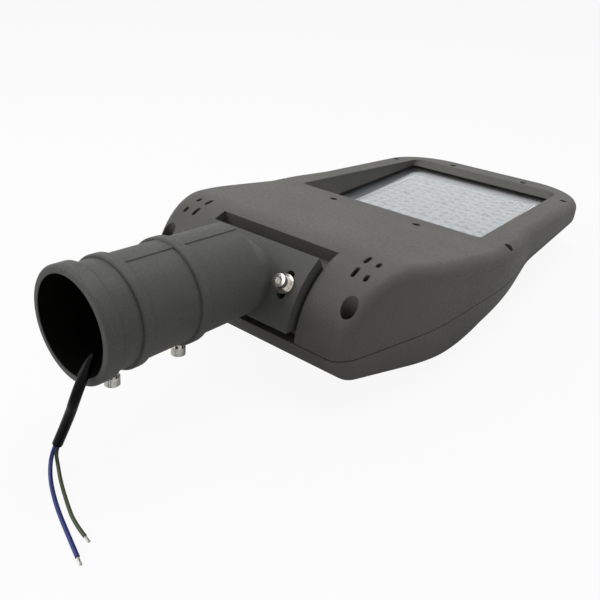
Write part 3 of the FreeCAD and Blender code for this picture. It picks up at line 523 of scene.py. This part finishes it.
def curve(name, points, radius, material, body):
    """A round cord along its route, which rides on a body."""
    data = bpy.data.curves.new(name, "CURVE")
    data.dimensions = "3D"
    data.bevel_depth = radius
    data.bevel_resolution = 8
    data.use_fill_caps = True
    data.resolution_u = 24
    spline = data.splines.new("NURBS")
    spline.points.add(len(points) - 1)
    for point, place in zip(spline.points, points):
        point.co = (*place, 1)
    spline.order_u = 3
    spline.use_endpoint_u = True
    data.materials.append(material)
    thing = show(bpy.data.objects.new(name, data))
    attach(thing, body)
    return thing


def strands(name, last, before, reach, material):
    """The bared end of a core: seven tinned wires with a slight twist, a little frayed at the tip."""
    heading = (last - before).normalized()
    side = heading.orthogonal().normalized()
    other = heading.cross(side)
    turns = [2*math.pi*j/STRAND_SIDES for j in range(STRAND_SIDES)]
    mesh = bmesh.new()
    for k in range(OUTER_STRANDS + 1):
        rows = []
        for i in range(STRAND_RINGS + 1):
            along = i/STRAND_RINGS
            angle = math.radians(360/OUTER_STRANDS*k + STRAND_TWIST*along)
            out = 0.0 if k == OUTER_STRANDS else STRAND_CIRCLE*(1 + STRAND_FRAY*along*along)
            middle = last + heading*(along*reach*(1 - STRAND_STAGGER*(k % 3)))
            middle += side*out*math.cos(angle) + other*out*math.sin(angle)
            thick = STRAND_RADIUS*(1 if i < STRAND_RINGS else STRAND_TIP)
            rows.append([mesh.verts.new(middle + (side*math.cos(t) + other*math.sin(t))*thick)
                         for t in turns])
        for low, high in zip(rows, rows[1:]):
            for j in range(STRAND_SIDES):
                after = (j + 1) % STRAND_SIDES
                mesh.faces.new((low[j], low[after], high[after], high[j]))
        mesh.faces.new(rows[-1])
        mesh.faces.new(rows[0][::-1])
    thing = mesh_thing(name, mesh, material)
    for face in thing.data.polygons:
        face.use_smooth = len(face.vertices) == 4
    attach(thing, "adapter")
    return thing


def make_cables():
    sheath_line = from_axis(SHEATH_ROUTE)
    sheath = curve("supply_cable_sheath", sheath_line, SHEATH_RADIUS, SHEATH, "adapter")
    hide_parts("supply_cable")
    for colour, route, radius, reach, long, material in (
            ("blue", BLUE_ROUTE, BLUE_RADIUS, 0.0058, 0.0831, BLUE),
            ("earth", EARTH_ROUTE, EARTH_RADIUS, 0.005, 0.0726, EARTH)):
        line = from_axis(route)
        core = curve(colour + "_core_wire", line, radius, material, "adapter")
        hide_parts(colour + "_core")
        tip = strands(colour + "_core_strands", line[-1], line[-2], reach, TIN)
        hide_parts(colour + "_core_end")


make_cables()


# Floor, lamps and world

def make_floor():
    """A pale floor that takes soft shadows and looks nearly white to the camera."""
    material, add, link, shader = nodes_of("floor_pale")
    set_inputs(shader, {"Base Color": FLOOR_COLOUR, "Roughness": 0.9, "Specular IOR Level": 0.0})
    path = add("ShaderNodeLightPath")
    seen = combine(add, link, "MAXIMUM", path.outputs["Is Camera Ray"],
                   path.outputs["Is Transmission Ray"])
    share = combine(add, link, "MULTIPLY", seen, FLOOR_GLOW)
    white = add("ShaderNodeEmission", Strength=1.0, Color=WHITE)
    end_in_blend(material, add, link, share, shader.outputs["BSDF"], white.outputs["Emission"])
    mesh = bmesh.new()
    mesh.faces.new([mesh.verts.new((x*FLOOR_REACH, y*FLOOR_REACH, FLOOR_Z))
                    for x, y in ((-1, -1), (1, -1), (1, 1), (-1, 1))])
    mesh_thing("floor", mesh, material)


def make_lamp(name, place, aim, width, power):
    """A square lamp that faces its aim."""
    data = bpy.data.lights.new(name, "AREA")
    data.shape = "SQUARE"
    data.size = width
    data.energy = power
    lamp = bpy.data.objects.new(name, data)
    heading = (Vector(aim) - Vector(place)).normalized()
    turn = heading.to_track_quat("-Z", "Y").to_matrix().to_4x4()
    lamp.matrix_world = Matrix.Translation(place) @ turn
    show(lamp)


def make_world():
    """White to the camera, in reflections and through glass, and dimmer as a source of light."""
    world = bpy.data.worlds.new("studio")
    bpy.context.scene.world = world
    world.use_nodes = True
    add, link = node_tools(world.node_tree)
    path = add("ShaderNodeLightPath")
    seen = combine(add, link, "MAXIMUM", path.outputs["Is Camera Ray"], path.outputs["Is Glossy Ray"])
    seen = combine(add, link, "MAXIMUM", seen, path.outputs["Is Transmission Ray"])
    level = add("ShaderNodeMapRange", **{"To Min": WORLD_FILL, "To Max": 1.0})
    link(seen, level.inputs["Value"])
    back = world.node_tree.nodes["Background"]
    back.inputs["Color"].default_value = WHITE
    link(level.outputs["Result"], back.inputs["Strength"])


make_floor()
for lamp_facts in LAMPS:
    make_lamp(*lamp_facts)
make_world()
bpy.context.scene.view_settings.view_transform = "Standard"
